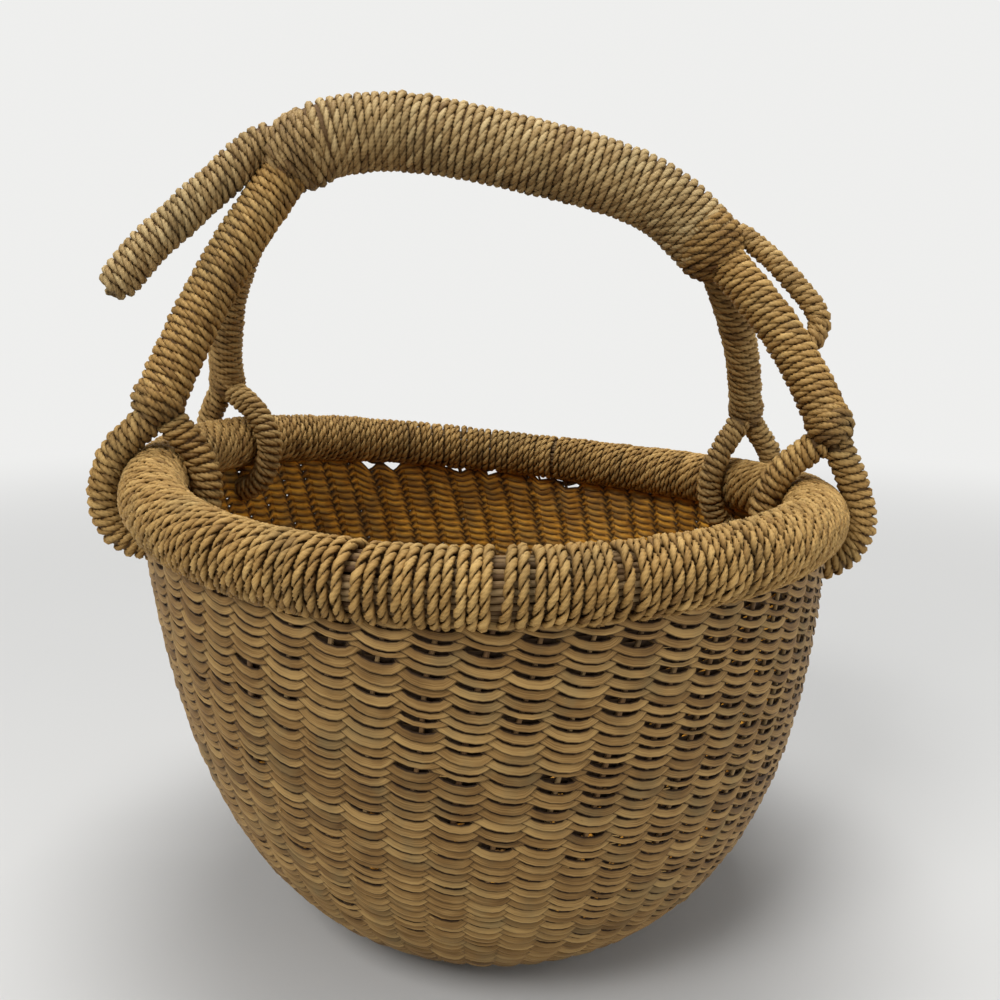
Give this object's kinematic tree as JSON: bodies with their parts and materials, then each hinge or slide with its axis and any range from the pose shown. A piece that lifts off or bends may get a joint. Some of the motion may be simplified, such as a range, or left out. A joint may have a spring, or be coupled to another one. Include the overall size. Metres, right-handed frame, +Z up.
{
  "type": "bolga basket",
  "caption": "Round twined grass basket with a cord-wound rim and a branching cord-wound arch handle whose feet loop round the rim.",
  "frame": {"origin": "middle of the base's flat underside", "axes": "+Z up out of the basket's mouth, -Y to the front that the picture shows, +X to the side of the small curl, with the handle's arch along X"},
  "size_m": [0.3963, 0.3874, 0.4194],
  "materials": {
    "weft_straw": "flat dried grass straws in plain twining, dull with a faint sheen along the fibre",
    "inner_straw": "dried grass straws of the wall's inner face, slightly paler and dull",
    "stake_straw": "brown dried grass stems, dull",
    "winding_cord": "two-ply cord of twisted dried grass, dull",
    "core_straw": "bundle of dried grass stems, dull"
  },
  "bodies": {
    "root": {"base_weave": "weft_straw", "outer_weft": "weft_straw", "inner_weft": "inner_straw", "wall_stakes": "stake_straw", "rim_winding": "winding_cord", "rim_core": "core_straw", "arch_winding": "winding_cord", "arch_core": "core_straw", "left_binding": "winding_cord", "right_binding": "winding_cord", "front_left_leg_winding": "winding_cord", "front_left_leg_core": "core_straw", "front_left_fork_binding": "winding_cord", "front_left_foot_winding": "winding_cord", "front_left_foot_core": "core_straw", "front_right_leg_winding": "winding_cord", "front_right_leg_core": "core_straw", "front_right_fork_binding": "winding_cord", "front_right_foot_winding": "winding_cord", "front_right_foot_core": "core_straw", "back_left_leg_winding": "winding_cord", "back_left_leg_core": "core_straw", "back_left_fork_binding": "winding_cord", "back_left_foot_winding": "winding_cord", "back_left_foot_core": "core_straw", "back_right_leg_winding": "winding_cord", "back_right_leg_core": "core_straw", "back_right_fork_binding": "winding_cord", "back_right_foot_winding": "winding_cord", "back_right_foot_core": "core_straw", "finger_winding": "winding_cord", "finger_core": "core_straw", "curl_winding": "winding_cord", "curl_core": "core_straw"}
  },
  "joints": []
}
